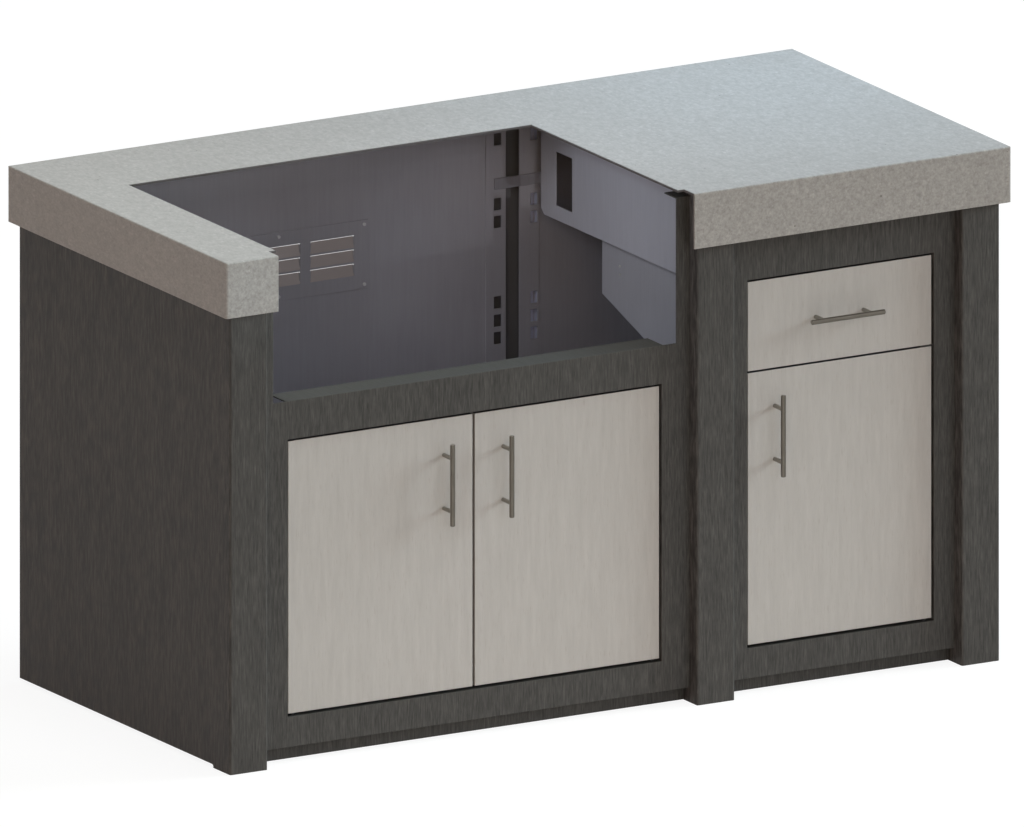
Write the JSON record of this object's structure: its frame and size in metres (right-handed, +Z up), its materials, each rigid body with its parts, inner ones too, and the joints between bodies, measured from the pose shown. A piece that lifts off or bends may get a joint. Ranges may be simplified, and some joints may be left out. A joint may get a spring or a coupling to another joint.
{
  "type": "outdoor kitchen grill island cabinet",
  "caption": "Free-standing outdoor kitchen island cabinet with a stone counter cut out for a drop-in grill, hinged doors below, and a storage bay with a drawer over a door.",
  "frame": {"origin": "on the floor under the middle of the countertop", "axes": "+X to the right along the counter, +Y to the back (the doors face -Y), +Z up"},
  "size_m": [1.577, 0.762, 0.927],
  "materials": {
    "stone": "fine speckled, honed",
    "charcoal_sheet": "powder coat with a fine vertical wood grain",
    "pale_sheet": "powder coat with a pale vertical wood grain",
    "back_sheet": "satin powder coat",
    "galvanised_sheet": "satin mill finish",
    "zinc_steel": "zinc plated",
    "handle_nickel": "brushed dark nickel",
    "black_rubber": "matt",
    "white_nylon": "moulded"
  },
  "bodies": {
    "cabinet": {"countertop": "stone", "cutout_trim": "black_rubber", "left_side_panel": "charcoal_sheet", "right_side_panel": "charcoal_sheet", "middle_pillar": "charcoal_sheet", "grill_front_frame": "charcoal_sheet", "storage_front_frame": "charcoal_sheet", "grill_kick_plate": "charcoal_sheet", "storage_kick_plate": "charcoal_sheet", "grill_floor_panel": "galvanised_sheet", "storage_floor_panel": "galvanised_sheet", "grill_back_panel": "back_sheet", "storage_back_panel": "back_sheet", "vent_cover": "back_sheet", "vent_screws": "zinc_steel", "rear_left_post": "galvanised_sheet", "rear_right_post": "galvanised_sheet", "rear_middle_post": "back_sheet", "rear_feet": "black_rubber", "partition_panel": "galvanised_sheet", "right_support_panel": "galvanised_sheet", "post_tie_bracket": "back_sheet", "left_drawer_bracket": "galvanised_sheet", "right_drawer_bracket": "galvanised_sheet", "outer_runners": "zinc_steel", "runner_screws": "zinc_steel", "pivot_bushes": "white_nylon", "magnetic_catches": "white_nylon"},
    "left_door": {"left_door_skin": "pale_sheet", "left_door_liner": "galvanised_sheet", "left_door_strike": "zinc_steel", "left_door_pins": "zinc_steel", "left_door_handle": "handle_nickel", "left_door_screws": "zinc_steel"},
    "right_door": {"right_door_skin": "pale_sheet", "right_door_liner": "galvanised_sheet", "right_door_strike": "zinc_steel", "right_door_pins": "zinc_steel", "right_door_handle": "handle_nickel", "right_door_screws": "zinc_steel"},
    "storage_door": {"storage_door_skin": "pale_sheet", "storage_door_liner": "galvanised_sheet", "storage_door_strike": "zinc_steel", "storage_door_pins": "zinc_steel", "storage_door_handle": "handle_nickel", "storage_door_screws": "zinc_steel"},
    "drawer_slide": {"middle_runners": "zinc_steel"},
    "drawer": {"inner_runners": "zinc_steel", "drawer_front": "pale_sheet", "drawer_box": "galvanised_sheet", "drawer_handle": "handle_nickel", "drawer_screws": "zinc_steel"}
  },
  "joints": [
    {"name": "left_door_hinge", "type": "hinge", "parent": "cabinet", "child": "left_door", "pos_m": [-0.6265, -0.328, 0.33], "axis": [0, 0, -1], "range_deg": [0, 105]},
    {"name": "right_door_hinge", "type": "hinge", "parent": "cabinet", "child": "right_door", "pos_m": [0.0945, -0.328, 0.33], "axis": [0, 0, 1], "range_deg": [0, 105]},
    {"name": "storage_door_hinge", "type": "hinge", "parent": "cabinet", "child": "storage_door", "pos_m": [0.6415, -0.328, 0.33], "axis": [0, 0, 1], "range_deg": [0, 105]},
    {"name": "drawer_slide_out", "type": "slide", "parent": "cabinet", "child": "drawer", "axis": [0, -1, 0], "range_m": [0, 0.36]},
    {"name": "runner_slide_out", "type": "slide", "parent": "cabinet", "child": "drawer_slide", "axis": [0, -1, 0], "range_m": [0, 0.18]}
  ],
  "couplings": [
    {"joint": "runner_slide_out", "follows": "drawer_slide_out", "ratio": 0.5}
  ]
}
